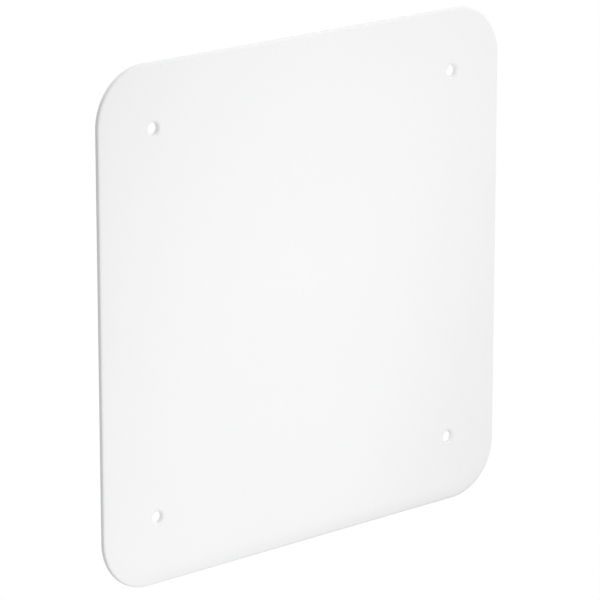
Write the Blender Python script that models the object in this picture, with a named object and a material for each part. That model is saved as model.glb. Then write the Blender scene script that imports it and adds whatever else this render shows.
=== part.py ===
"""Convex traffic mirror as a screw-on panel.

A shallow tray of mirror sheet, open at the back, holds a shaped core with a rim seal around it. A back
plate closes the tray, and a sleeve goes through all of them at each of the four fixing holes. The panel
hangs upright, +Z up. Its mirror looks along -Y, and the flat back that meets the wall lies in the plane
y = 0, with the origin at the middle of the back. Lengths are in metres.
"""

import math

import bmesh
import bpy
from mathutils import Matrix, Vector

# Outline of the panel
PANEL_SIDE = 0.400
CORNER_RADIUS = 0.043

# Layers, from the back to the front
BACK_SHEET = 0.0008
SEAL_THICKNESS = 0.0004
FACE_SHEET = 0.0014

# Shape of the mirror: a soft roll along its edge, then a crown that is highest in the middle
ROLL_WIDTH = 0.014
ROLL_RISE = 0.0005
CROWN_RISE = 0.0018

# Edge of the tray, the strip of seal inside it, and the roundings of the edge in front and behind
SKIRT_WIDTH = 0.0012
SEAL_WIDTH = 0.0060
FRONT_EDGE_ROUND = 0.0020
BACK_EDGE_CHAMFER = 0.0002

# Fixing holes: an M8 screw's bore in a sleeve that flares to a rounded mouth, with a narrow flat ring
# around the mouth and a chamfer behind. A collar on the sleeve lies between the two sheets, so that it can
# leave neither way. The square of holes sits a little above the middle of the panel.
HOLE_INSET = 0.051
HOLE_LIFT = 0.002
BORE_DIAMETER = 0.0084
MOUTH_FLARE = 0.0021
MOUTH_RING = 0.0006
COLLAR_WIDTH = 0.0030
BORE_BACK_CHAMFER = 0.0010
SLEEVE_BACK_CHAMFER = 0.0003

# Faint round mark that moulding leaves in the face, in the middle of the square of holes
MARK_DIAMETER = 0.0120
MARK_HEIGHT = 0.00012

# Air between neighbouring pieces
FIT_GAP = 0.0003

# Smoothness of the round shapes, and the shares of the crown and of the roll at which they are drawn
ARC_STEPS = 10
SIDE_STEPS = 6
EDGE_STEPS = 4
MOUTH_STEPS = 5
TURN_STEPS = 36
CROWN_SHARES = (0.05, 0.26, 0.46, 0.65, 0.83, 1.0)
ROLL_SHARES = (0.75, 0.5, 0.25)
SHARP_ANGLE = math.radians(35)

# Heights of the layers above the back plane
SEAL_BACK = BACK_SHEET + FIT_GAP
FACE_BACK = SEAL_BACK + SEAL_THICKNESS + FIT_GAP
RIM_FRONT = FACE_BACK + FACE_SHEET

# What the sizes above give for the pieces that fit into each other
HALF_SIDE = PANEL_SIDE / 2
HOLE_REACH = HALF_SIDE - HOLE_INSET
BORE_RADIUS = BORE_DIAMETER / 2
SLEEVE_RADIUS = BORE_RADIUS + MOUTH_FLARE + MOUTH_RING
COLLAR_RADIUS = SLEEVE_RADIUS + COLLAR_WIDTH
TRAY_INSIDE = SKIRT_WIDTH + FIT_GAP
CORE_INSET = TRAY_INSIDE + SEAL_WIDTH + FIT_GAP
CROWN_EDGE = 1.0 - ROLL_WIDTH / HALF_SIDE

# The fixing holes, named by the corner that each is in when the mirror is looked at
CORNERS = {
    "top_left": (-1, 1),
    "top_right": (1, 1),
    "bottom_left": (-1, -1),
    "bottom_right": (1, -1),
}


def clear_scene():
    """Remove every object that the file opens with."""
    for thing in list(bpy.data.objects):
        bpy.data.objects.remove(thing, do_unlink=True)


def depth_inside(x, z):
    """Return how far a point of the face lies inside the panel's outline."""
    straight = HALF_SIDE - CORNER_RADIUS
    beyond = Vector((abs(x) - straight, abs(z) - straight))
    corner = Vector((max(beyond.x, 0.0), max(beyond.y, 0.0)))
    return CORNER_RADIUS - corner.length - min(max(beyond), 0.0)


def rise(x, z):
    """Return how far the face stands forward of its rim at one point: the roll, and the crown on top of it."""
    short_of_crown = 1.0 - min(max(depth_inside(x, z) / ROLL_WIDTH, 0.0), 1.0)
    across = max(0.0, 1.0 - (x / HALF_SIDE) ** 2)
    upright = max(0.0, 1.0 - (z / HALF_SIDE) ** 2)
    return ROLL_RISE * (1.0 - short_of_crown**2) + CROWN_RISE * across * upright


def outline(inset):
    """Return the corners of the panel's rounded square, drawn one distance inside its edge."""
    half = HALF_SIDE - inset
    radius = CORNER_RADIUS - inset
    straight = half - radius
    quarter = []
    for step in range(ARC_STEPS + 1):
        angle = step / ARC_STEPS * math.pi / 2
        quarter.append(Vector((straight + radius * math.cos(angle), straight + radius * math.sin(angle))))
    for step in range(1, SIDE_STEPS):
        quarter.append(Vector((straight - 2 * straight * step / SIDE_STEPS, half)))
    return [Matrix.Rotation(turn * math.pi / 2, 2) @ point for turn in range(4) for point in quarter]


def ring(inset, height, share=1.0, risen=True):
    """Return one ring of points in space: a share of an outline, at a height above the back plane."""
    flat = [point * share for point in outline(inset)]
    return [Vector((x, -height - (rise(x, z) if risen else 0.0), z)) for x, z in flat]


def crown_rings(inset, height):
    """Return the rings of a risen surface inside an outline, from its middle to the foot of the crown."""
    return [ring(inset, height, CROWN_EDGE * share) for share in CROWN_SHARES]


def roll_rings(inset, height):
    """Return the rings of a risen surface inside an outline, from the foot of the crown to the edge."""
    return [ring(inset, height, 1.0 - ROLL_WIDTH * share / HALF_SIDE) for share in ROLL_SHARES]


def loop_edges(mesh, loop):
    """Return the edges that run around a closed loop of vertices."""
    return [mesh.edges.get((loop[at - 1], loop[at])) for at in range(len(loop))]


def next_loop(mesh, loop, points):
    """Extrude a closed loop of vertices to new points and return the new loop in the same order."""
    grown = set(bmesh.ops.extrude_edge_only(mesh, edges=loop_edges(mesh, loop))["geom"])
    new_loop = []
    for old, point in zip(loop, points):
        new = next(edge.other_vert(old) for edge in old.link_edges if edge.other_vert(old) in grown)
        new.co = point
        new_loop.append(new)
    return new_loop


def cap(mesh, loop):
    """Close a loop with a fan of triangles around its middle."""
    face = bmesh.ops.contextual_create(mesh, geom=loop_edges(mesh, loop))["faces"]
    bmesh.ops.poke(mesh, faces=face)


def loft(rings, tube=False):
    """Return a closed mesh drawn through rings, capped at its ends or, as a tube, joined end to end."""
    mesh = bmesh.new()
    first = bmesh.ops.create_circle(mesh, segments=len(rings[0]), radius=HALF_SIDE)["verts"]
    for vertex, point in zip(first, rings[0]):
        vertex.co = point
    loop = first
    for points in rings[1:]:
        loop = next_loop(mesh, loop, points)
    if tube:
        bmesh.ops.bridge_loops(mesh, edges=loop_edges(mesh, first) + loop_edges(mesh, loop))
    else:
        cap(mesh, first)
        cap(mesh, loop)
    bmesh.ops.recalc_face_normals(mesh, faces=mesh.faces)
    return mesh


def cylinders(radius, low, high, places):
    """Return a mesh of upright rods that run along Y between two heights above the back plane."""
    mesh = bmesh.new()
    lay_down = Matrix.Rotation(math.pi / 2, 4, "X")
    for x, z in places:
        middle = Matrix.Translation((x, -(low + high) / 2, z))
        bmesh.ops.create_cone(
            mesh,
            cap_ends=True,
            segments=TURN_STEPS,
            radius1=radius,
            radius2=radius,
            depth=high - low,
            matrix=middle @ lay_down,
        )
    return mesh


def finish(name, colour, roughness, metallic):
    """Return a material of one plain finish."""
    material = bpy.data.materials.new(name)
    material.use_nodes = True
    shader = material.node_tree.nodes["Principled BSDF"]
    shader.inputs["Base Color"].default_value = (*colour, 1.0)
    shader.inputs["Roughness"].default_value = roughness
    shader.inputs["Metallic"].default_value = metallic
    return material


def add_object(name, mesh, material, frame, place=(0.0, 0.0, 0.0)):
    """Turn a bmesh into a named object that is carried by the panel's frame."""
    data = bpy.data.meshes.new(name)
    mesh.to_mesh(data)
    mesh.free()
    data.materials.append(material)
    data.shade_smooth()
    data.set_sharp_from_angle(angle=SHARP_ANGLE)
    thing = bpy.data.objects.new(name, data)
    thing.location = place
    thing.parent = frame
    bpy.context.scene.collection.objects.link(thing)
    return thing


def add_cutter(name, mesh, material, frame):
    """Add an object that only shapes other objects."""
    cutter = add_object(name, mesh, material, frame)
    cutter.hide_render = True
    cutter.display_type = "WIRE"
    return cutter


def shape_with(thing, cutter, operation):
    """Cut or grow an object by a cutter."""
    boolean = thing.modifiers.new(cutter.name, "BOOLEAN")
    boolean.object = cutter
    boolean.operation = operation
    boolean.solver = "EXACT"


def face_mesh():
    """Return the mirror sheet: a shallow tray of even thickness with a rounded front edge."""
    edge_round = min(FRONT_EDGE_ROUND, RIM_FRONT - BACK_EDGE_CHAMFER)
    rings = crown_rings(SKIRT_WIDTH, FACE_BACK) + roll_rings(SKIRT_WIDTH, FACE_BACK)
    rings.append(ring(SKIRT_WIDTH, FACE_BACK))
    rings.append(ring(SKIRT_WIDTH, 0.0, risen=False))
    rings.append(ring(BACK_EDGE_CHAMFER, 0.0, risen=False))
    rings.append(ring(0.0, BACK_EDGE_CHAMFER, risen=False))
    for step in range(EDGE_STEPS + 1):
        angle = step / EDGE_STEPS * math.pi / 2
        inset = edge_round * (1.0 - math.cos(angle))
        rings.append(ring(inset, RIM_FRONT - edge_round * (1.0 - math.sin(angle))))
    rings += reversed(crown_rings(0.0, RIM_FRONT) + roll_rings(0.0, RIM_FRONT))
    return loft(rings)


def core_mesh():
    """Return the core: flat behind, and shaped like the back of the mirror sheet in front."""
    front = FACE_BACK - FIT_GAP
    rings = [ring(CORE_INSET, SEAL_BACK, CROWN_SHARES[0], risen=False)]
    rings.append(ring(CORE_INSET, SEAL_BACK, risen=False))
    rings.append(ring(CORE_INSET, front))
    rings += reversed(crown_rings(CORE_INSET, front))
    return loft(rings)


def seal_mesh():
    """Return the rim seal: a strip around the core that fills the corner of the tray."""
    inner = TRAY_INSIDE + SEAL_WIDTH
    front = SEAL_BACK + SEAL_THICKNESS
    rings = [
        ring(TRAY_INSIDE, SEAL_BACK, risen=False),
        ring(TRAY_INSIDE, front),
        ring(inner, front),
        ring(inner, SEAL_BACK, risen=False),
    ]
    return loft(rings, tube=True)


def back_mesh():
    """Return the back plate: a flat sheet that closes the tray, level with the end of its skirt."""
    return loft([ring(TRAY_INSIDE, height, risen=False) for height in (0.0, BACK_SHEET)])


def sleeve_mesh(x, z):
    """Return the sleeve of the hole at a point, turned about Y, with its back at the origin."""
    length = RIM_FRONT + rise(x, z)
    collar_front = FACE_BACK - FIT_GAP + rise(abs(x) + COLLAR_RADIUS, abs(z) + COLLAR_RADIUS)
    flare_depth = length - BORE_BACK_CHAMFER
    profile = [
        (BORE_RADIUS + BORE_BACK_CHAMFER, 0.0),
        (SLEEVE_RADIUS - SLEEVE_BACK_CHAMFER, 0.0),
        (SLEEVE_RADIUS, SLEEVE_BACK_CHAMFER),
        (SLEEVE_RADIUS, SEAL_BACK),
        (COLLAR_RADIUS, SEAL_BACK),
        (COLLAR_RADIUS, collar_front),
        (SLEEVE_RADIUS, collar_front),
        (SLEEVE_RADIUS, length),
    ]
    for step in range(MOUTH_STEPS + 1):
        angle = step / MOUTH_STEPS * math.pi / 2
        radius = BORE_RADIUS + MOUTH_FLARE * (1.0 - math.sin(angle))
        profile.append((radius, BORE_BACK_CHAMFER + flare_depth * math.cos(angle)))
    mesh = bmesh.new()
    points = [mesh.verts.new((radius, -height, 0.0)) for radius, height in profile]
    edges = [mesh.edges.new((points[at - 1], points[at])) for at in range(len(points))]
    bmesh.ops.spin(
        mesh,
        geom=points + edges,
        axis=(0.0, 1.0, 0.0),
        cent=(0.0, 0.0, 0.0),
        angle=2 * math.pi,
        steps=TURN_STEPS,
        use_merge=True,
    )
    bmesh.ops.remove_doubles(mesh, verts=mesh.verts, dist=FIT_GAP / 100)
    bmesh.ops.recalc_face_normals(mesh, faces=mesh.faces)
    return mesh


def build():
    """Build the panel's pieces in place."""
    clear_scene()
    frame = bpy.data.objects.new("panel_frame", None)
    bpy.context.scene.collection.objects.link(frame)

    mirror = finish("mirror", (0.93, 0.94, 0.935), 0.08, 1.0)
    white_sheet = finish("white_sheet", (0.80, 0.81, 0.81), 0.45, 0.0)
    white_moulding = finish("white_moulding", (0.84, 0.85, 0.85), 0.35, 0.0)
    core_foam = finish("core_foam", (0.70, 0.71, 0.70), 0.90, 0.0)
    seal_rubber = finish("seal_rubber", (0.05, 0.05, 0.05), 0.75, 0.0)

    places = {name: (x * HOLE_REACH, z * HOLE_REACH + HOLE_LIFT) for name, (x, z) in CORNERS.items()}
    crown_front = RIM_FRONT + rise(0.0, 0.0)
    past_front = crown_front + FACE_SHEET
    sleeve_rods = cylinders(SLEEVE_RADIUS + FIT_GAP, -FACE_SHEET, past_front, places.values())
    sleeve_holes = add_cutter("sleeve_holes", sleeve_rods, white_sheet, frame)
    collar_rods = cylinders(COLLAR_RADIUS + FIT_GAP, -FACE_SHEET, past_front, places.values())
    collar_holes = add_cutter("collar_holes", collar_rods, core_foam, frame)
    mark_disc = cylinders(
        MARK_DIAMETER / 2, crown_front - FACE_SHEET / 2, crown_front + MARK_HEIGHT, [(0.0, HOLE_LIFT)]
    )
    centre_mark = add_cutter("centre_mark", mark_disc, mirror, frame)

    face = add_object("mirror_face", face_mesh(), mirror, frame)
    shape_with(face, centre_mark, "UNION")
    shape_with(face, sleeve_holes, "DIFFERENCE")
    core = add_object("shape_core", core_mesh(), core_foam, frame)
    shape_with(core, collar_holes, "DIFFERENCE")
    add_object("rim_seal", seal_mesh(), seal_rubber, frame)
    back = add_object("back_plate", back_mesh(), white_sheet, frame)
    shape_with(back, sleeve_holes, "DIFFERENCE")
    for name, (x, z) in places.items():
        add_object("hole_sleeve_" + name, sleeve_mesh(x, z), white_moulding, frame, (x, 0.0, z))


build()
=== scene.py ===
"""Looks of a convex mirror panel that is screwed flat to a wall.

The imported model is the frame: the panel hangs upright with +Z up, its mirror looks along -Y and its flat
back lies in the plane y = 0. Heights below are measured from the back plane towards the mirror's side.
Lengths are in metres and angles in radians.
"""

import logging
import math
from abc import ABC, abstractmethod
from collections.abc import Iterable, Mapping
from dataclasses import dataclass
from enum import Enum
from functools import cache
from typing import TypeAlias, TypeVar

import bmesh
import bpy
from bmesh.types import BMEdge, BMesh, BMFace, BMVert
from mathutils import Matrix, Quaternion, Vector


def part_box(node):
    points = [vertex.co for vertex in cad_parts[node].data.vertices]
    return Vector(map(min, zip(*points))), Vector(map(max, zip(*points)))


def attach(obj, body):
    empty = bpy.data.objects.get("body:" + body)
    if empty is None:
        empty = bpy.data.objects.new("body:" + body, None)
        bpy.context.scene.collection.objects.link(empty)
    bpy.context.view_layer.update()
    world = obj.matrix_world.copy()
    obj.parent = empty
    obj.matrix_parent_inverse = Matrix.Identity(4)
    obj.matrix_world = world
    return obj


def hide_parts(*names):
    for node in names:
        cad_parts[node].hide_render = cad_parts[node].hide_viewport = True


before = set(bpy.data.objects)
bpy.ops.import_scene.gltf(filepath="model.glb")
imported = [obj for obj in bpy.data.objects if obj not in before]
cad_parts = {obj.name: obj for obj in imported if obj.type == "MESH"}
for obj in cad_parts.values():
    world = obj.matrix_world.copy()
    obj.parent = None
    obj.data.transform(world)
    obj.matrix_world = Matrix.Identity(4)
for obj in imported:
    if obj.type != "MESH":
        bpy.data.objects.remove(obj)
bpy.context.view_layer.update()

LOG = logging.getLogger("mirror_panel")
BODY = "root"

# Turns a shape that is drawn flat in X and Y up into the plane of the mirror, facing -Y
UPRIGHT = Matrix.Rotation(math.pi / 2, 4, "X")

# Points closer than this are one point
SAME_POINT = 3e-5

# Air between a sleeve and the sheets around it
SEAM = 2e-5

WHITE = (1.0, 1.0, 1.0, 1.0)

Triple: TypeAlias = tuple[float, float, float]
Colour: TypeAlias = tuple[float, float, float]
Number: TypeAlias = "Signal | float"
Value: TypeAlias = "Signal | float | tuple[float, ...] | Vector"
Inputs: TypeAlias = "Mapping[str | int, Value]"
Settings: TypeAlias = Mapping[str, object]
Thing = TypeVar("Thing")


class Corner(Enum):
    """The fixing holes, named by the corner that each is in when the mirror is looked at."""

    TOP_LEFT = "top_left"
    TOP_RIGHT = "top_right"
    BOTTOM_LEFT = "bottom_left"
    BOTTOM_RIGHT = "bottom_right"

    @property
    def node(self) -> str:
        """Name of the sleeve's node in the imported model."""
        return f"hole_sleeve_{self.value}"

    @property
    def centre(self) -> Vector:
        """Find where the hole's axis meets the back plane.

        Returns:
            The point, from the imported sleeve's box.
        """
        low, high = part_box(self.node)
        middle = (low + high) / 2
        return Vector((middle.x, 0.0, middle.z))


class Rounded(Enum):
    """What a bevel rounds: edges of a solid, or corners of a flat face."""

    EDGES = "EDGES"
    CORNERS = "VERTICES"


class Signal:
    """A shader socket that takes part in sums and products."""

    def __init__(self, shader: "ShaderTree", socket: bpy.types.NodeSocket) -> None:
        """Wrap an output socket of a shader's node."""
        self.shader = shader
        self.socket = socket

    def __add__(self, other: "Number") -> "Signal":
        """Add a value to this one."""
        return self.shader.maths("ADD", self, other)

    __radd__ = __add__

    def __sub__(self, other: "Number") -> "Signal":
        """Take a value from this one."""
        return self.shader.maths("SUBTRACT", self, other)

    def __rsub__(self, other: "Number") -> "Signal":
        """Take this value from another one."""
        return self.shader.maths("SUBTRACT", other, self)

    def __mul__(self, other: "Number") -> "Signal":
        """Multiply this value by another one."""
        return self.shader.maths("MULTIPLY", self, other)

    __rmul__ = __mul__


class ShaderTree:
    """The nodes of one material, or of the world."""

    def __init__(self, owner: bpy.types.Material | bpy.types.World) -> None:
        """Empty the owner's node tree and take it over.

        Args:
            owner: The material or world that the nodes are for.
        """
        owner.use_nodes = True
        self.owner = owner
        self.tree = owner.node_tree
        self.tree.nodes.clear()

    def add(
        self, kind: str, settings: Settings | None = None, inputs: "Inputs | None" = None
    ) -> bpy.types.Node:
        """Add any node.

        Args:
            kind: The node's type.
            settings: The node's own properties, which are set first.
            inputs: Values or links of its sockets, by name or number.

        Returns:
            The node.
        """
        made = self.tree.nodes.new(kind)
        for name, value in (settings or {}).items():
            setattr(made, name, value)
        for name, value in (inputs or {}).items():
            if isinstance(value, Signal):
                self.tree.links.new(value.socket, made.inputs[name])
            else:
                made.inputs[name].default_value = value
        return made

    def node(
        self, kind: str, output: str | int, settings: Settings | None = None, inputs: "Inputs | None" = None
    ) -> Signal:
        """Add any node and return one of its outputs, by name or number."""
        return Signal(self, self.add(kind, settings, inputs).outputs[output])

    def finish(self, surface: Signal, kind: str = "ShaderNodeOutputMaterial") -> None:
        """Send a shader to the output, which is of another kind for a world."""
        self.add(kind, None, {"Surface": surface})

    def maths(self, operation: str, first: "Number", second: "Number") -> Signal:
        """Work out two values with a Math node."""
        return self.node("ShaderNodeMath", "Value", {"operation": operation}, {0: first, 1: second})

    def place(
        self, squeeze: Triple = (1.0, 1.0, 1.0), turn: float = 0.0, origin: Triple = (0.0, 0.0, 0.0)
    ) -> Signal:
        """Return the piece's own coordinates.

        Args:
            squeeze: How much a pattern is squeezed along each axis, once it is turned.
            turn: Angle by which it is turned in the plane of the mirror.
            origin: The point that the coordinates are counted from.

        Returns:
            The coordinates as a vector signal.
        """
        point = self.node("ShaderNodeTexCoord", "Object")
        placing = {"Vector": point, "Location": -Vector(origin), "Rotation": (0.0, turn, 0.0)}
        turned = self.node("ShaderNodeMapping", "Vector", None, placing)
        return self.node("ShaderNodeMapping", "Vector", None, {"Vector": turned, "Scale": squeeze})

    def between(self, value: Signal, low: float, high: float) -> Signal:
        """Return 0 where a value is below a range, 1 where it is above, and a soft step between."""
        span = {"Value": value, "From Min": low, "From Max": high}
        return self.node("ShaderNodeMapRange", "Result", {"interpolation_type": "SMOOTHSTEP"}, span)

    def blend(self, share: Signal, first: Colour, second: Colour) -> Signal:
        """Mix two colours by a varying share."""
        colours = {0: share, 6: (*first, 1.0), 7: (*second, 1.0)}
        return self.node("ShaderNodeMix", 2, {"data_type": "RGBA"}, colours)

    def bump(self, height: Signal, depth: float) -> Signal:
        """Return a normal that is tilted by a height, of so much depth."""
        return self.node("ShaderNodeBump", "Normal", None, {"Height": height, "Distance": depth})

    def principled(self, inputs: "Inputs") -> Signal:
        """Return a Principled shader with the given sockets."""
        return self.node("ShaderNodeBsdfPrincipled", "BSDF", None, inputs)

    def mix(self, share: Signal, first: Signal, second: Signal) -> Signal:
        """Mix two shaders by a varying share."""
        return self.node("ShaderNodeMixShader", "Shader", None, {0: share, 1: first, 2: second})

    def seen_rays(self) -> Signal:
        """Tell the rays that look at things from those that light them.

        Returns:
            1 for rays from the camera and for mirrored and refracted ones, 0 for diffuse light.
        """
        kinds = ("Is Camera Ray", "Is Glossy Ray", "Is Transmission Ray")
        camera, mirrored, refracted = (self.node("ShaderNodeLightPath", kind) for kind in kinds)
        return camera + mirrored + refracted


@dataclass(frozen=True)
class Clouds:
    """Cloudy noise over a piece.

    Attributes:
        scale: Clouds to a metre.
        detail: How many finer layers there are in the clouds.
        squeeze: How much narrower they are along each axis, once they are turned.
        turn: Angle by which they are turned in the plane of the mirror.
    """

    scale: float
    detail: float = 2.0
    squeeze: Triple = (1.0, 1.0, 1.0)
    turn: float = 0.0

    def draw(self, shader: ShaderTree) -> Signal:
        """Draw the clouds, which lie around 0.5."""
        place = shader.place(self.squeeze, self.turn)
        return shader.node(
            "ShaderNodeTexNoise", "Fac", None, {"Vector": place, "Scale": self.scale, "Detail": self.detail}
        )


@dataclass(frozen=True, kw_only=True)
class Patches(Clouds):
    """Clouds that are bare below one value, full above another and soft between the two."""

    low: float
    high: float

    def draw(self, shader: ShaderTree) -> Signal:
        """Draw the patches, from 0 where they are bare to 1 where they are full."""
        return shader.between(super().draw(shader), self.low, self.high)


@dataclass(frozen=True)
class Finish(ABC):
    """A surface finish. Each kind draws its own nodes."""

    name: str

    @abstractmethod
    def draw(self, shader: ShaderTree) -> Signal:
        """Draw the finish's nodes and return its shader."""

    @cache
    def material(self) -> bpy.types.Material:
        """Make the finish's material, once for all the pieces that share it.

        Returns:
            The material.
        """
        shader = ShaderTree(bpy.data.materials.new(self.name))
        shader.finish(self.draw(shader))
        return shader.owner


@dataclass(frozen=True)
class SilveredFinish(Finish):
    """Silvered sheet under a white film, with a breath of haze and faint wiping marks."""

    clean: Colour = (0.945, 0.949, 0.947)
    hazy: Colour = (0.932, 0.938, 0.935)
    silver: float = 0.40
    roughness: float = 0.16
    haze: Patches = Patches(scale=6.0, detail=3.0, low=0.35, high=0.75)
    haze_tint: float = 0.7
    haze_roughness: float = 0.05
    haze_cover: float = 0.04
    wiping: Patches = Patches(
        scale=1.0, detail=3.0, squeeze=(60.0, 1.0, 5.0), turn=math.radians(32), low=0.5, high=0.8
    )
    wiping_tint: float = 0.3
    wiping_roughness: float = 0.04
    waves: Clouds = Clouds(scale=26.0, detail=1.0)
    wave_depth: float = 0.00003

    def draw(self, shader: ShaderTree) -> Signal:
        """Draw haze, wiping marks and the sheet's slight waviness.

        Args:
            shader: The node tree that they go into.

        Returns:
            The finish's shader.
        """
        haze = self.haze.draw(shader)
        wiping = self.wiping.draw(shader)
        tint = haze * self.haze_tint + wiping * self.wiping_tint
        return shader.principled(
            {
                "Base Color": shader.blend(tint, self.clean, self.hazy),
                "Metallic": self.silver - haze * self.haze_cover,
                "Roughness": self.roughness + haze * self.haze_roughness + wiping * self.wiping_roughness,
                "Normal": shader.bump(self.waves.draw(shader), self.wave_depth),
            }
        )


@dataclass(frozen=True)
class MouldedFinish(Finish):
    """White moulded plastic with a fine skin, and a little grime where it has been handled."""

    clean: Colour = (0.89, 0.90, 0.895)
    grimy: Colour = (0.84, 0.85, 0.84)
    roughness: float = 0.38
    coat: float = 0.0
    coat_roughness: float = 0.12
    grime: Patches = Patches(scale=40.0, detail=4.0, low=0.55, high=0.85)
    grime_tint: float = 0.5
    grime_roughness: float = 0.1
    grain: Clouds = Clouds(scale=1400.0)
    grain_roughness: float = 0.08
    grain_depth: float = 0.00001

    def draw(self, shader: ShaderTree) -> Signal:
        """Draw the skin's fine grain and the soft patches of grime.

        Args:
            shader: The node tree that they go into.

        Returns:
            The finish's shader.
        """
        grime = self.grime.draw(shader)
        grain = self.grain.draw(shader)
        return shader.principled(
            {
                "Base Color": shader.blend(grime * self.grime_tint, self.clean, self.grimy),
                "Roughness": self.roughness + grain * self.grain_roughness + grime * self.grime_roughness,
                "Coat Weight": self.coat,
                "Coat Roughness": self.coat_roughness,
                "Normal": shader.bump(grain, self.grain_depth),
            }
        )


@dataclass(frozen=True)
class CoatedSheetFinish(Finish):
    """White coated sheet metal: orange peel, faint rolling lines, light scuffs and soft stains."""

    clean: Colour = (0.80, 0.81, 0.805)
    worn: Colour = (0.60, 0.61, 0.61)
    roughness: float = 0.42
    lines: Patches = Patches(scale=1.0, detail=5.0, squeeze=(900.0, 1.0, 4.0), low=0.3, high=0.8)
    line_tint: float = 0.16
    line_roughness: float = 0.06
    line_height: float = 0.3
    scuffs: Patches = Patches(
        scale=1.0, detail=4.0, squeeze=(240.0, 1.0, 16.0), turn=math.radians(-58), low=0.62, high=0.74
    )
    scuff_tint: float = 0.35
    scuff_roughness: float = 0.15
    stains: Patches = Patches(scale=9.0, detail=6.0, low=0.45, high=0.8)
    stain_tint: float = 0.35
    stain_roughness: float = 0.08
    peel: Clouds = Clouds(scale=520.0)
    peel_depth: float = 0.00002

    def draw(self, shader: ShaderTree) -> Signal:
        """Draw the peel of the coat, the lines of the rolled sheet, the scuffs and the stains.

        Args:
            shader: The node tree that they go into.

        Returns:
            The finish's shader.
        """
        lines = self.lines.draw(shader)
        scuffs = self.scuffs.draw(shader)
        stains = self.stains.draw(shader)
        tint = scuffs * self.scuff_tint + lines * self.line_tint + stains * self.stain_tint
        roughness = self.roughness + lines * self.line_roughness
        roughness += scuffs * self.scuff_roughness + stains * self.stain_roughness
        height = self.peel.draw(shader) + lines * self.line_height
        return shader.principled(
            {
                "Base Color": shader.blend(tint, self.clean, self.worn),
                "Roughness": roughness,
                "Normal": shader.bump(height, self.peel_depth),
            }
        )


@dataclass(frozen=True)
class RubberFinish(Finish):
    """Black rubber tape with a dusty bloom."""

    black: Colour = (0.030, 0.031, 0.032)
    dusty: Colour = (0.085, 0.085, 0.083)
    roughness: float = 0.7
    bloom: Patches = Patches(scale=90.0, detail=4.0, low=0.4, high=0.8)
    grain: Clouds = Clouds(scale=1800.0)
    grain_roughness: float = 0.15
    grain_depth: float = 0.00003

    def draw(self, shader: ShaderTree) -> Signal:
        """Draw the bloom and the grain of the tape.

        Args:
            shader: The node tree that they go into.

        Returns:
            The finish's shader.
        """
        grain = self.grain.draw(shader)
        return shader.principled(
            {
                "Base Color": shader.blend(self.bloom.draw(shader), self.black, self.dusty),
                "Roughness": self.roughness + grain * self.grain_roughness,
                "Normal": shader.bump(grain, self.grain_depth),
            }
        )


@dataclass(frozen=True)
class FoamFinish(Finish):
    """Pale rigid foam board with fine closed cells."""

    wall: Colour = (0.72, 0.72, 0.69)
    cell: Colour = (0.55, 0.55, 0.52)
    roughness: float = 0.85
    cell_scale: float = 700.0
    cell_roughness: float = 0.1
    cell_depth: float = 0.0001

    def draw(self, shader: ShaderTree) -> Signal:
        """Draw the cells of the foam.

        Args:
            shader: The node tree that they go into.

        Returns:
            The finish's shader.
        """
        inputs = {"Vector": shader.place(), "Scale": self.cell_scale}
        cells = shader.node("ShaderNodeTexVoronoi", "Distance", None, inputs)
        return shader.principled(
            {
                "Base Color": shader.blend(cells, self.cell, self.wall),
                "Roughness": self.roughness + cells * self.cell_roughness,
                "Normal": shader.bump(cells, self.cell_depth),
            }
        )


@dataclass(frozen=True)
class FloorFinish(Finish):
    """Pale studio floor, white away from the panel, with a painted shade patch in front of it to the right:
    there the white thins out, and the lit floor with its real shadows shows through darker, also in the
    mirror.

    Attributes:
        clean: Colour of the lit floor.
        mottled: Its colour where it is cloudy.
        roughness: Roughness of the lit floor.
        clouds: The clouds on it.
        middle: Middle of the round painted shade patch, where the lit floor and its real shadows show
            through.
        near: Distance from there at which the fade to white begins.
        far: Distance at which the floor is all white.
        near_white: Share of white inside the painted shade patch, before the fade begins.
    """

    clean: Colour = (0.64, 0.64, 0.64)
    mottled: Colour = (0.60, 0.60, 0.60)
    roughness: float = 0.7
    clouds: Clouds = Clouds(scale=3.0, detail=3.0)
    # The painted shade patch lies in front of the panel and to its right, where the mirror's lower edge
    # reflects it
    middle: Triple = (0.66, -0.20, -0.60)
    near: float = 0.30
    far: float = 0.66
    near_white: float = 0.40

    def draw(self, shader: ShaderTree) -> Signal:
        """Draw the lit floor, and the white that the camera and the mirror see of it, thinned to a painted
        shade patch around the middle.

        Args:
            shader: The node tree that they go into.

        Returns:
            The finish's shader.
        """
        colour = shader.blend(self.clouds.draw(shader), self.clean, self.mottled)
        lit = shader.principled({"Base Color": colour, "Roughness": self.roughness})
        white = shader.node("ShaderNodeEmission", "Emission", None, {"Color": WHITE, "Strength": 1.0})
        place = shader.place(origin=self.middle)
        distance = shader.node("ShaderNodeVectorMath", "Value", {"operation": "LENGTH"}, {0: place})
        # Painted shade: the share of white is lowest around the middle and grows to all white at the far
        # distance
        white_share_around_painted_shade = self.near_white + shader.between(distance, self.near, self.far) * (1 - self.near_white)
        return shader.mix(shader.seen_rays() * white_share_around_painted_shade, lit, white)


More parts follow.
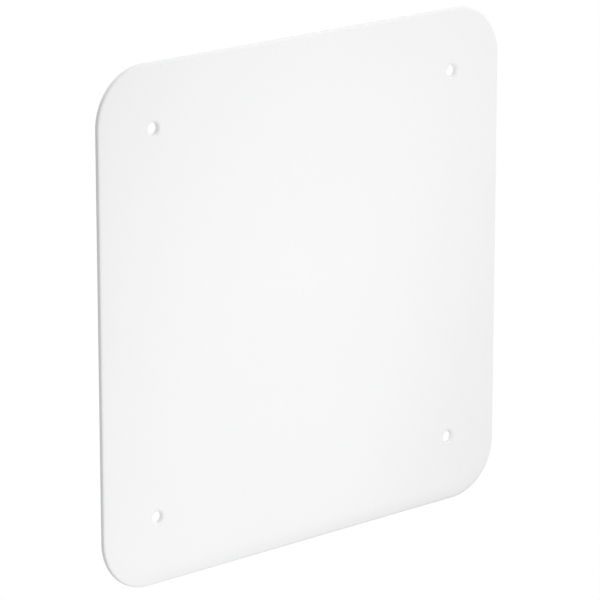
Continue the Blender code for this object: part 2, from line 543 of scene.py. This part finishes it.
@dataclass(frozen=True)
class PanelShape:
    """Shape of the panel, which its sheets and sleeves share.

    Attributes:
        half_side: Half the side of the square.
        corner_radius: Radius of its corners.
        rim_front: Height of the face at the rim.
        roll_width: Width of the soft roll along the edge.
        roll_rise: How far the roll climbs.
        crown_rise: How far the crown climbs, from the rim to the middle.
        edge_round: Radius of the rounding where the face turns into the rim.
        mark_centre: Middle of the faint round mark.
        mark_radius: Radius of the mark, half way up its shoulder.
        mark_rise: Height of the mark over the face.
        mark_edge: Width of its soft shoulder.
    """

    half_side: float
    corner_radius: float = 0.043
    rim_front: float = 0.0032
    roll_width: float = 0.014
    roll_rise: float = 0.0005
    crown_rise: float = 0.0018
    edge_round: float = 0.0020
    mark_centre: Triple = (0.0, 0.0, 0.002)
    mark_radius: float = 0.0060
    mark_rise: float = 0.00012
    mark_edge: float = 0.0012

    @classmethod
    def of_frame(cls) -> "PanelShape":
        """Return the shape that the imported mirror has."""
        low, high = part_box("mirror_face")
        return cls(half_side=(high.x - low.x) / 2)

    @property
    def straight(self) -> float:
        """Half the length of the straight stretch between two corners."""
        return self.half_side - self.corner_radius

    def kept_inside(self, reach: float) -> float:
        """Return a coordinate, held to the span between the centres of the corners."""
        return max(-self.straight, min(self.straight, reach))

    def outward(self, at: Vector) -> Vector:
        """Return the way out of the outline that is nearest to a point by its edge."""
        middle = Vector((self.kept_inside(at.x), 0.0, self.kept_inside(at.z)))
        return (Vector((at.x, 0.0, at.z)) - middle).normalized()

    def depth(self, at: Vector) -> float:
        """Measure how far a point lies inside the outline.

        Args:
            at: The point, at any height.

        Returns:
            Its distance from the outline, which is below 0 outside of it.
        """
        beyond_x = abs(at.x) - self.straight
        beyond_z = abs(at.z) - self.straight
        corner = math.hypot(max(beyond_x, 0.0), max(beyond_z, 0.0))
        return self.corner_radius - corner - min(max(beyond_x, beyond_z), 0.0)

    def rise(self, at: Vector) -> float:
        """Work out how far the face stands forward of its rim: the roll, and the crown on top of it.

        Args:
            at: The point on the face, at any height.

        Returns:
            The rise at this point.
        """
        short_of_crown = 1.0 - min(max(self.depth(at) / self.roll_width, 0.0), 1.0)
        across = max(0.0, 1.0 - (at.x / self.half_side) ** 2)
        upright = max(0.0, 1.0 - (at.z / self.half_side) ** 2)
        return self.roll_rise * (1.0 - short_of_crown**2) + self.crown_rise * across * upright

    def mark(self, at: Vector) -> float:
        """Work out the height of the faint round mark in the middle of the face.

        Args:
            at: The point on the face, at any height.

        Returns:
            The mark's height at this point, which is 0 away from it.
        """
        away = (Vector((at.x, 0.0, at.z)) - Vector(self.mark_centre)).length
        share = (self.mark_radius + self.mark_edge / 2 - away) / self.mark_edge
        share = min(max(share, 0.0), 1.0)
        return self.mark_rise * share * share * (3.0 - 2.0 * share)

    def front(self, at: Vector) -> float:
        """Work out the height of the mirror's front, with the rounding of its edge.

        Args:
            at: The point on the face, at any height.

        Returns:
            The height of the front at this point.
        """
        to_go = max(0.0, self.edge_round - self.depth(at))
        drop = self.edge_round - math.sqrt(max(0.0, self.edge_round**2 - to_go**2))
        return self.rim_front - drop + self.rise(at) + self.mark(at)


def off_axis(at: Vector, centre: Vector) -> float:
    """Return how far a point lies from an axis along Y."""
    return math.hypot(at.x - centre.x, at.z - centre.z)


def boundary_near(mesh: BMesh, centre: Vector, reach: float) -> list[BMEdge]:
    """Return the open edges of a mesh that lie within a reach of an axis along Y."""
    rims = (edge for edge in mesh.edges if edge.is_boundary)
    return [edge for edge in rims if all(off_axis(end.co, centre) < reach for end in edge.verts)]


def of_kind(kind: type[Thing], things: Iterable[object]) -> list[Thing]:
    """Return the things of one kind, such as the vertices among what an operator made."""
    return [thing for thing in things if isinstance(thing, kind)]


def each_once(things: Iterable[Thing]) -> list[Thing]:
    """Return things without repeats, in the order that they come in."""
    return list(dict.fromkeys(things))


def extrude_rim(mesh: BMesh, rim: list[BMEdge]) -> tuple[list[BMEdge], list[BMVert]]:
    """Grow a strip from open edges and return its far edges and their vertices, not yet moved."""
    grown = bmesh.ops.extrude_edge_only(mesh, edges=rim)["geom"]
    return of_kind(BMEdge, grown), of_kind(BMVert, grown)


def bevel(mesh: BMesh, kind: Rounded, parts: list[BMEdge] | list[BMVert], offset: float, steps: int) -> None:
    """Round edges or corners, in so many steps, from an offset on either side of them."""
    bmesh.ops.bevel(
        mesh,
        geom=parts,
        offset=offset,
        offset_type="OFFSET",
        affect=kind.value,
        segments=steps,
        profile=0.5,
        material=-1,
    )


def rounded_square(mesh: BMesh, half: float, radius: float, arc_steps: int, side_steps: int) -> BMFace:
    """Add a flat rounded square in the plane y = 0, facing -Y.

    Args:
        mesh: The empty mesh that it goes into.
        half: Half the square's side.
        radius: Radius of its corners.
        arc_steps: Edges around each corner.
        side_steps: Edges along each straight side.

    Returns:
        The square, as one face.
    """
    corners = bmesh.ops.create_grid(mesh, x_segments=1, y_segments=1, size=half, matrix=UPRIGHT)["verts"]
    bevel(mesh, Rounded.CORNERS, corners, radius, arc_steps)
    # The straight sides are the only edges that are longer than a corner's radius
    sides = [edge for edge in mesh.edges if edge.calc_length() > radius]
    bmesh.ops.subdivide_edges(mesh, edges=sides, cuts=side_steps - 1)
    mesh.faces.ensure_lookup_table()
    return mesh.faces[0]


def add_circle(mesh: BMesh, centre: Vector, radius: float, steps: int) -> list[BMEdge]:
    """Add a circle in the plane y = 0.

    Args:
        mesh: The mesh that it goes into.
        centre: Its middle.
        radius: Its radius.
        steps: Edges around it.

    Returns:
        Its edges.
    """
    matrix = Matrix.Translation(centre) @ UPRIGHT
    made = bmesh.ops.create_circle(mesh, segments=steps, radius=radius, matrix=matrix)["verts"]
    return each_once(edge for vertex in made for edge in vertex.link_edges)


def fill_flat(mesh: BMesh, edges: list[BMEdge]) -> None:
    """Fill flat loops of edges with triangles that face -Y and leave inner loops open."""
    bmesh.ops.triangle_fill(mesh, use_beauty=True, edges=edges, normal=(0.0, -1.0, 0.0))


def make_piece(name: str, mesh: BMesh, sharp: float) -> bpy.types.Object:
    """Turn a mesh that is in its place into a piece that rides on the panel.

    Args:
        name: The piece's name.
        mesh: Its shape, which is used up.
        sharp: Angle from which an edge is shown sharp.

    Returns:
        The piece.
    """
    bmesh.ops.recalc_face_normals(mesh, faces=mesh.faces)
    data = bpy.data.meshes.new(name)
    mesh.to_mesh(data)
    mesh.free()
    data.shade_smooth()
    data.set_sharp_from_angle(angle=sharp)
    piece = bpy.data.objects.new(name, data)
    bpy.context.scene.collection.objects.link(piece)
    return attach(piece, BODY)


@dataclass
class MirrorTray:
    """The mirror sheet: a shallow tray with a rolled edge and a crowned face.

    Attributes:
        shape: Shape of the panel.
        holes: Where the axes of the fixing holes meet the back plane.
        hole_radius: Radius of the holes in the sheet.
        sheet: Thickness of the face.
        skirt: Thickness of the rim, which is turned back to the wall.
        back_chamfer: Width of the chamfer where the rim meets the wall.
        bare_edge: Width of the strip along the outline that the silvering leaves bare.
        sharp: Angle from which an edge is shown sharp.
        arc_steps: Edges around each corner.
        side_steps: Edges along each side, and squares of the grid across the face.
        round_steps: Rings over the rounding of the edge.
        roll_insets: Distances from the outline of the rings inside the rounding.
        hole_steps: Edges around each hole, and around the mark.
        hole_clearing: Distance within which the grid gives way to a hole.
        mark_clearing: Distance within which the grid gives way to the mark.
        mark_rings: Rings over the shoulder of the mark and beside it.
    """

    shape: PanelShape
    holes: list[Vector]
    hole_radius: float
    sheet: float = 0.0014
    skirt: float = 0.0012
    back_chamfer: float = 0.0002
    bare_edge: float = 0.0006
    sharp: float = math.radians(40)
    arc_steps: int = 20
    side_steps: int = 40
    round_steps: int = 8
    roll_insets: tuple[float, ...] = (
        0.0026, 0.0035, 0.0045, 0.006, 0.008, 0.010, 0.012, 0.014, 0.020, 0.030
    )
    hole_steps: int = 72
    hole_clearing: float = 0.0160
    mark_clearing: float = 0.0110
    mark_rings: int = 8

    def build(self) -> bpy.types.Object:
        """Model the tray.

        Returns:
            The piece, with the faces of its mirror and of its edge in two slots.
        """
        mesh = bmesh.new()
        self.draw_face(mesh)
        for centre in self.holes:
            self.open_disc(mesh, centre, self.hole_clearing, self.hole_radius)
        self.draw_mark(mesh)
        for vertex in mesh.verts:
            vertex.co.y = -self.shape.front(vertex.co)
        self.add_thickness(mesh)
        for face in mesh.faces:
            face.material_index = int(self.is_edge(face))
        return make_piece("mirror_tray", mesh, self.sharp)

    def dress(self, piece: bpy.types.Object, mirror: Finish, edge: Finish) -> bpy.types.Object:
        """Give the face its silvering and the rim its own finish.

        Args:
            piece: The tray.
            mirror: Finish of the face.
            edge: Finish of the rim and of the sheet's back.

        Returns:
            The tray.
        """
        for finish in (mirror, edge):
            piece.data.materials.append(finish.material())
        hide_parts("mirror_face")
        return piece

    def draw_face(self, mesh: BMesh) -> None:
        """Draw the flat face: rings along its edge, and a grid inside them.

        Args:
            mesh: The empty mesh that it goes into.
        """
        shape = self.shape
        face = rounded_square(mesh, shape.half_side, shape.corner_radius, self.arc_steps, self.side_steps)
        done = 0.0
        for inset in self.ring_insets():
            bmesh.ops.inset_region(
                mesh, faces=[face], thickness=inset - done, use_boundary=True, use_even_offset=True
            )
            done = inset
        inner = [face]
        spacing = 2 * shape.straight / self.side_steps
        for normal in (Vector((1.0, 0.0, 0.0)), Vector((0.0, 0.0, 1.0))):
            for step in range(self.side_steps + 1):
                at = normal * (step * spacing - shape.straight)
                inner = self.cut_across(mesh, inner, at, normal)

    def ring_insets(self) -> list[float]:
        """Space the rings along the edge: even turns of its rounding, and then the roll.

        Returns:
            The distance of each ring from the outline, in order.
        """
        turns = (step / self.round_steps * math.pi / 2 for step in range(1, self.round_steps + 1))
        rounding = {self.shape.edge_round * (1.0 - math.cos(turn)) for turn in turns}
        # The inside of the skirt meets the face at a ring of its own, and the nearest one gives way to it
        rounding.remove(min(rounding, key=lambda inset: abs(inset - self.skirt)))
        return sorted({*rounding, self.skirt, *self.roll_insets})

    def cut_across(self, mesh: BMesh, faces: list[BMFace], at: Vector, normal: Vector) -> list[BMFace]:
        """Cut faces by a plane.

        Args:
            mesh: The mesh that they are in.
            faces: The faces.
            at: A point on the plane.
            normal: The way that the plane looks.

        Returns:
            All the faces that they are now.
        """
        edges = each_once(edge for face in faces for edge in face.edges)
        corners = each_once(vertex for face in faces for vertex in face.verts)
        cut = bmesh.ops.bisect_plane(
            mesh, geom=[*corners, *edges, *faces], dist=SAME_POINT, plane_co=at, plane_no=normal
        )
        return of_kind(BMFace, cut["geom"])

    def open_disc(self, mesh: BMesh, centre: Vector, clearing: float, radius: float) -> list[BMEdge]:
        """Open a round hole in the flat face.

        Args:
            mesh: The face.
            centre: Middle of the hole.
            clearing: Distance within which the grid gives way to it.
            radius: Radius of the hole.

        Returns:
            The edges around the hole.
        """
        near = [face for face in mesh.faces if (face.calc_center_median() - centre).length < clearing]
        bmesh.ops.delete(mesh, geom=near, context="FACES")
        # What is left of the grid has a ragged edge, which lies within twice the clearing
        ragged = boundary_near(mesh, centre, 2 * clearing)
        circle = add_circle(mesh, centre, radius, self.hole_steps)
        fill_flat(mesh, ragged + circle)
        return circle

    def draw_mark(self, mesh: BMesh) -> None:
        """Draw close rings in the middle of the face, for its faint round mark.

        Args:
            mesh: The face.
        """
        reach = self.shape.mark_radius + self.shape.mark_edge
        circle = self.open_disc(mesh, Vector(self.shape.mark_centre), self.mark_clearing, reach)
        face = bmesh.ops.contextual_create(mesh, geom=circle)["faces"]
        # The rings start outside the shoulder and end inside it, so they cover twice its width
        spacing = 2 * self.shape.mark_edge / self.mark_rings
        for _ in range(self.mark_rings):
            bmesh.ops.inset_region(mesh, faces=face, thickness=spacing, use_even_offset=True)
        bmesh.ops.poke(mesh, faces=face)

    def add_thickness(self, mesh: BMesh) -> None:
        """Close the sheet with its back, its skirt and the walls of its holes.

        Args:
            mesh: The crowned front of the sheet.
        """
        rim = [edge for edge in mesh.edges if edge.is_boundary and self.is_outline(edge)]
        inside = [face for face in mesh.faces if all(map(self.is_past_skirt, face.verts))]
        back = bmesh.ops.duplicate(mesh, geom=inside)["geom"]
        for vertex in of_kind(BMVert, back):
            vertex.co.y += self.sheet
        self.add_skirt(mesh, rim)
        bmesh.ops.remove_doubles(mesh, verts=mesh.verts, dist=SAME_POINT)
        for centre in self.holes:
            bmesh.ops.bridge_loops(mesh, edges=boundary_near(mesh, centre, 2 * self.hole_radius))

    def add_skirt(self, mesh: BMesh, rim: list[BMEdge]) -> None:
        """Turn the rim back to the wall, and forward again inside to meet the sheet's back.

        Args:
            mesh: The front and the back of the sheet.
            rim: The edges along the outline of its front.
        """
        done = 0.0
        for inset, height in ((0.0, self.back_chamfer), (self.back_chamfer, 0.0), (self.skirt, 0.0)):
            rim, ends = extrude_rim(mesh, rim)
            for vertex in ends:
                vertex.co -= self.shape.outward(vertex.co) * (inset - done)
                vertex.co.y = -height
            done = inset
        _, ends = extrude_rim(mesh, rim)
        for vertex in ends:
            vertex.co.y = self.sheet - self.shape.front(vertex.co)

    def is_outline(self, edge: BMEdge) -> bool:
        """Tell whether an edge runs along the panel's outline."""
        return all(self.shape.depth(vertex.co) < SAME_POINT for vertex in edge.verts)

    def is_past_skirt(self, vertex: BMVert) -> bool:
        """Tell whether a vertex of the face lies inside the tray's skirt."""
        return self.shape.depth(vertex.co) > self.skirt - SAME_POINT

    def is_edge(self, face: BMFace) -> bool:
        """Tell whether a face belongs to the rim or the back of the sheet, and not to the mirror.

        Args:
            face: A face of the finished tray.

        Returns:
            True if it does.
        """
        middle = face.calc_center_median()
        behind = middle.y > self.sheet / 2 - self.shape.front(middle)
        return behind or self.shape.depth(middle) < self.bare_edge


@dataclass
class BackPlate:
    """The flat sheet that closes the tray and meets the wall.

    Attributes:
        shape: Shape of the panel.
        holes: Where the axes of the fixing holes meet the back plane.
        hole_radius: Radius of the holes in the sheet.
        inset: How far the sheet stays inside the panel's outline.
        thickness: Thickness of the sheet.
        edge_bevel: Width of the bevel along all of its edges.
        bevel_steps: Faces across the bevel.
        sharp: Angle from which an edge is shown sharp.
        arc_steps: Edges around each corner.
        side_steps: Edges along each side.
        hole_steps: Edges around each hole.
    """

    shape: PanelShape
    holes: list[Vector]
    hole_radius: float
    inset: float = 0.0015
    thickness: float = 0.0008
    edge_bevel: float = 0.00015
    bevel_steps: int = 2
    sharp: float = math.radians(15)
    arc_steps: int = 20
    side_steps: int = 2
    hole_steps: int = 72

    def build(self) -> bpy.types.Object:
        """Model the plate.

        Returns:
            The piece.
        """
        mesh = bmesh.new()
        half = self.shape.half_side - self.inset
        radius = self.shape.corner_radius - self.inset
        square = rounded_square(mesh, half, radius, self.arc_steps, self.side_steps)
        bmesh.ops.delete(mesh, geom=[square], context="FACES_ONLY")
        for centre in self.holes:
            add_circle(mesh, centre, self.hole_radius, self.hole_steps)
        fill_flat(mesh, mesh.edges[:])
        grown = bmesh.ops.extrude_face_region(mesh, geom=mesh.faces[:])["geom"]
        bmesh.ops.translate(mesh, verts=of_kind(BMVert, grown), vec=(0.0, -self.thickness, 0.0))
        mesh.normal_update()
        rims = [edge for edge in mesh.edges if self.is_rim(edge)]
        bevel(mesh, Rounded.EDGES, rims, self.edge_bevel, self.bevel_steps)
        return make_piece("wall_plate", mesh, self.sharp)

    def is_rim(self, edge: BMEdge) -> bool:
        """Tell whether an edge joins a flat side of the sheet to a wall around it."""
        first, second = (round(abs(face.normal.y)) for face in edge.link_faces)
        return first != second

    def dress(self, piece: bpy.types.Object, finish: Finish) -> bpy.types.Object:
        """Give the plate its coat.

        Args:
            piece: The plate.
            finish: Its coat.

        Returns:
            The plate.
        """
        piece.data.materials.append(finish.material())
        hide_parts("back_plate")
        return piece


@dataclass
class HoleSleeve:
    """The lining of one fixing hole, with a rounded mouth in front and a collar between the sheets.

    Attributes:
        corner: The corner that the hole is in.
        shape: Shape of the panel.
        bore: Radius of the clear bore.
        flare: How much wider the mouth is in radius.
        radius: Outer radius of the sleeve behind its collar.
        collar: Radius of the collar.
        collar_back: Height of the collar's back.
        collar_front: Height of the collar's front.
        bore_chamfer: Width of the chamfer behind the bore.
        back_round: Rounding of the outer edge at the back.
        round_steps: Faces across that rounding.
        sharp: Angle from which an edge is shown sharp.
        turn_steps: Edges around the sleeve.
        flare_steps: Edges along the curve of the mouth.
    """

    corner: Corner
    shape: PanelShape
    bore: float = 0.0042
    flare: float = 0.0021
    radius: float = 0.0069
    collar: float = 0.0099
    collar_back: float = 0.0011
    collar_front: float = 0.0022
    bore_chamfer: float = 0.0010
    back_round: float = 0.0003
    round_steps: int = 2
    sharp: float = math.radians(35)
    turn_steps: int = 72
    flare_steps: int = 12

    @property
    def mouth(self) -> float:
        """Outer radius of the rounded mouth."""
        return self.bore + self.flare

    @property
    def length(self) -> float:
        """Height of the mouth over the back plane, on the hole's axis."""
        return self.shape.rim_front + self.shape.rise(self.corner.centre)

    def build(self) -> bpy.types.Object:
        """Turn the sleeve, round its back and fit its front to the crown of the face.

        Returns:
            The piece.
        """
        mesh = bmesh.new()
        points = [mesh.verts.new((radius, -height, 0.0)) for radius, height in self.profile()]
        edges = [mesh.edges.new((points[at - 1], points[at])) for at in range(len(points))]
        bmesh.ops.spin(
            mesh,
            geom=points + edges,
            axis=(0.0, 1.0, 0.0),
            cent=(0.0, 0.0, 0.0),
            angle=2 * math.pi,
            steps=self.turn_steps,
            use_merge=True,
        )
        bmesh.ops.remove_doubles(mesh, verts=mesh.verts, dist=SAME_POINT)
        bmesh.ops.recalc_face_normals(mesh, faces=mesh.faces)
        back_rim = [edge for edge in mesh.edges if all(map(self.is_on_back_rim, edge.verts))]
        bevel(mesh, Rounded.EDGES, back_rim, self.back_round, self.round_steps)
        bmesh.ops.translate(mesh, verts=mesh.verts, vec=self.corner.centre)
        self.fit_to_face(mesh)
        return make_piece(f"hole_lining_{self.corner.value}", mesh, self.sharp)

    def profile(self) -> list[tuple[float, float]]:
        """Draw half of the sleeve's section, from its back around the collar to the mouth and the bore.

        Returns:
            The radius and height of each point of the closed outline.
        """
        points = [
            (self.bore + self.bore_chamfer, 0.0),
            (self.radius, 0.0),
            (self.radius, self.collar_back),
            (self.collar, self.collar_back),
            (self.collar, self.collar_front),
            (self.mouth, self.collar_front),
        ]
        curve = self.length - self.bore_chamfer
        for step in range(self.flare_steps + 1):
            turn = step / self.flare_steps * math.pi / 2
            height = self.bore_chamfer + curve * math.cos(turn)
            points.append((self.mouth - self.flare * math.sin(turn), height))
        return points

    def is_on_back_rim(self, vertex: BMVert) -> bool:
        """Tell whether a vertex is on the sleeve's outer edge at the back, before it is moved in place."""
        to_rim = abs(off_axis(vertex.co, Vector()) - self.radius)
        return to_rim < SAME_POINT and abs(vertex.co.y) < SAME_POINT

    def fit_to_face(self, mesh: BMesh) -> None:
        """Tilt the front of the sleeve as the face around it is crowned, and leave its back flat.

        Args:
            mesh: The sleeve in its place.
        """
        rise = self.shape.rise(self.corner.centre)
        reach = self.length - self.collar_front
        for vertex in mesh.verts:
            share = max(0.0, (-vertex.co.y - self.collar_front) / reach)
            vertex.co.y -= (self.shape.rise(vertex.co) - rise) * share

    def dress(self, piece: bpy.types.Object, finish: Finish) -> bpy.types.Object:
        """Give the sleeve its plastic.

        Args:
            piece: The sleeve.
            finish: Its plastic.

        Returns:
            The sleeve.
        """
        piece.data.materials.append(finish.material())
        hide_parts(self.corner.node)
        return piece


@dataclass(frozen=True)
class InnerPiece:
    """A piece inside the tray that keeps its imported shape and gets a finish."""

    node: str
    finish: Finish

    def dress(self) -> bpy.types.Object:
        """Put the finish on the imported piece.

        Returns:
            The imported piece.
        """
        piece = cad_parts[self.node]
        piece.material_slots[0].material = self.finish.material()
        return piece


@dataclass(frozen=True)
class Softbox:
    """A soft lamp that looks at one point, turned by an angle about the way it looks."""

    name: str
    at: Triple
    width: float
    height: float
    power: float
    looks_at: Triple = (0.0, 0.0, 0.0)
    turn: float = 0.0

    def add(self) -> None:
        """Hang the lamp. The camera and the mirror see the white room instead of it."""
        light = bpy.data.lights.new(self.name, "AREA")
        light.shape = "RECTANGLE"
        light.size = self.width
        light.size_y = self.height
        light.energy = self.power
        lamp = bpy.data.objects.new(self.name, light)
        lamp.location = self.at
        look = (Vector(self.looks_at) - Vector(self.at)).to_track_quat("-Z", "Y")
        lamp.rotation_euler = (look @ Quaternion((0.0, 0.0, 1.0), self.turn)).to_euler()
        lamp.visible_camera = False
        lamp.visible_glossy = False
        bpy.context.scene.collection.objects.link(lamp)


@dataclass(frozen=True)
class Studio:
    """Pale floor, white room and soft lamps.

    Attributes:
        floor_height: Height of the floor, below the hanging panel.
        floor_radius: Radius of the floor.
        floor_steps: Edges around it.
        ambient: Strength of the room's light, with 1 for the white that is seen of it.
        softboxes: The lamps.
    """

    floor_height: float = -0.60
    floor_radius: float = 40.0
    floor_steps: int = 96
    ambient: float = 0.555
    softboxes: tuple[Softbox, ...] = (
        Softbox(
            name="front_strip",
            at=(-0.055, -0.19, -0.085),
            looks_at=(-0.055, 0.0, -0.085),
            width=0.47,
            height=0.80,
            power=0.60,
            turn=math.radians(-15),
        ),
        Softbox("right_softbox", at=(1.3, -0.7, 0.3), width=0.8, height=0.8, power=4.4),
        Softbox("overhead_softbox", at=(0.15, 0.15, 1.5), width=1.2, height=1.2, power=8.1),
        Softbox("back_softbox", at=(0.15, 0.8, 0.15), width=0.6, height=0.6, power=2.2),
    )

    def build(self) -> None:
        """Lay the floor, light the room and set how colours are shown."""
        self.lay_floor()
        self.light_room()
        for softbox in self.softboxes:
            softbox.add()
        bpy.context.scene.view_settings.view_transform = "Standard"

    def lay_floor(self) -> None:
        """Lay a wide round floor below the hanging panel."""
        mesh = bmesh.new()
        matrix = Matrix.Translation((0.0, 0.0, self.floor_height))
        bmesh.ops.create_circle(
            mesh, cap_ends=True, segments=self.floor_steps, radius=self.floor_radius, matrix=matrix
        )
        data = bpy.data.meshes.new("studio_floor")
        mesh.to_mesh(data)
        mesh.free()
        data.materials.append(FloorFinish("studio_floor").material())
        floor = bpy.data.objects.new("studio_floor", data)
        bpy.context.scene.collection.objects.link(floor)

    def light_room(self) -> None:
        """Make the room white to look at, with a softer light for what it shines on."""
        world = bpy.data.worlds.new("white_room")
        bpy.context.scene.world = world
        shader = ShaderTree(world)
        shining, seen = (
            shader.node("ShaderNodeBackground", "Background", None, {"Color": WHITE, "Strength": strength})
            for strength in (self.ambient, 1.0)
        )
        shader.finish(shader.mix(shader.seen_rays(), shining, seen), "ShaderNodeOutputWorld")


@dataclass(frozen=True)
class PhotoCamera:
    """The camera at the photo's viewing angle, with a long lens.

    Attributes:
        azimuth: Angle of the camera around the panel, from straight in front of it.
        elevation: Angle of the camera over the panel's middle.
        distance: Distance from the point that it aims at.
        aim_right: How far that point lies to the right of the panel's middle in the picture.
        aim_up: How far it lies above the middle.
        focal_pixels: Focal length in pixels of the photo.
        frame_pixels: Side of the photo in pixels.
        sensor_mm: Width of the sensor in millimetres.
    """

    azimuth: float = math.radians(-41.26)
    elevation: float = math.radians(15.80)
    distance: float = 2.913
    aim_right: float = -0.0031
    aim_up: float = -0.0065
    focal_pixels: float = 3821.0
    frame_pixels: float = 600.0
    sensor_mm: float = 36.0

    def add(self) -> None:
        """Place the camera and make it the scene's own."""
        across = math.cos(self.elevation)
        right = Vector((math.cos(self.azimuth), math.sin(self.azimuth), 0.0))
        back = Vector(
            (math.sin(self.azimuth) * across, -math.cos(self.azimuth) * across, math.sin(self.elevation))
        )
        up = back.cross(right)
        lens = bpy.data.cameras.new("photo_camera")
        lens.sensor_width = self.sensor_mm
        lens.lens = self.focal_pixels / self.frame_pixels * self.sensor_mm
        camera = bpy.data.objects.new("photo_camera", lens)
        turn = Matrix((right, up, back)).transposed().to_4x4()
        aim = right * self.aim_right + up * self.aim_up
        camera.matrix_world = Matrix.Translation(aim + back * self.distance) @ turn
        bpy.context.scene.collection.objects.link(camera)
        bpy.context.scene.camera = camera


def main() -> None:
    """Build the panel's pieces, dress them and set up the studio and the camera."""
    logging.basicConfig(level=logging.INFO, format="%(name)s: %(message)s")
    shape = PanelShape.of_frame()
    sleeves = [HoleSleeve(corner, shape) for corner in Corner]
    holes = [corner.centre for corner in Corner]
    tray = MirrorTray(shape, holes, sleeves[0].mouth + SEAM)
    plate = BackPlate(shape, holes, sleeves[0].radius + SEAM)
    lining = MouldedFinish(
        "white_lining", clean=(0.955, 0.96, 0.958), grimy=(0.93, 0.935, 0.93), coat=0.5
    )
    pieces = [
        tray.dress(tray.build(), SilveredFinish("silvered_face"), MouldedFinish("white_rim")),
        plate.dress(plate.build(), CoatedSheetFinish("white_coated_sheet")),
        *(sleeve.dress(sleeve.build(), lining) for sleeve in sleeves),
        InnerPiece("rim_seal", RubberFinish("black_seal")).dress(),
        InnerPiece("shape_core", FoamFinish("pale_foam")).dress(),
    ]
    for piece in pieces:
        LOG.info("%s: %d faces", piece.name, len(piece.data.polygons))
    Studio().build()
    PhotoCamera().add()


if __name__ == "__main__":
    main()
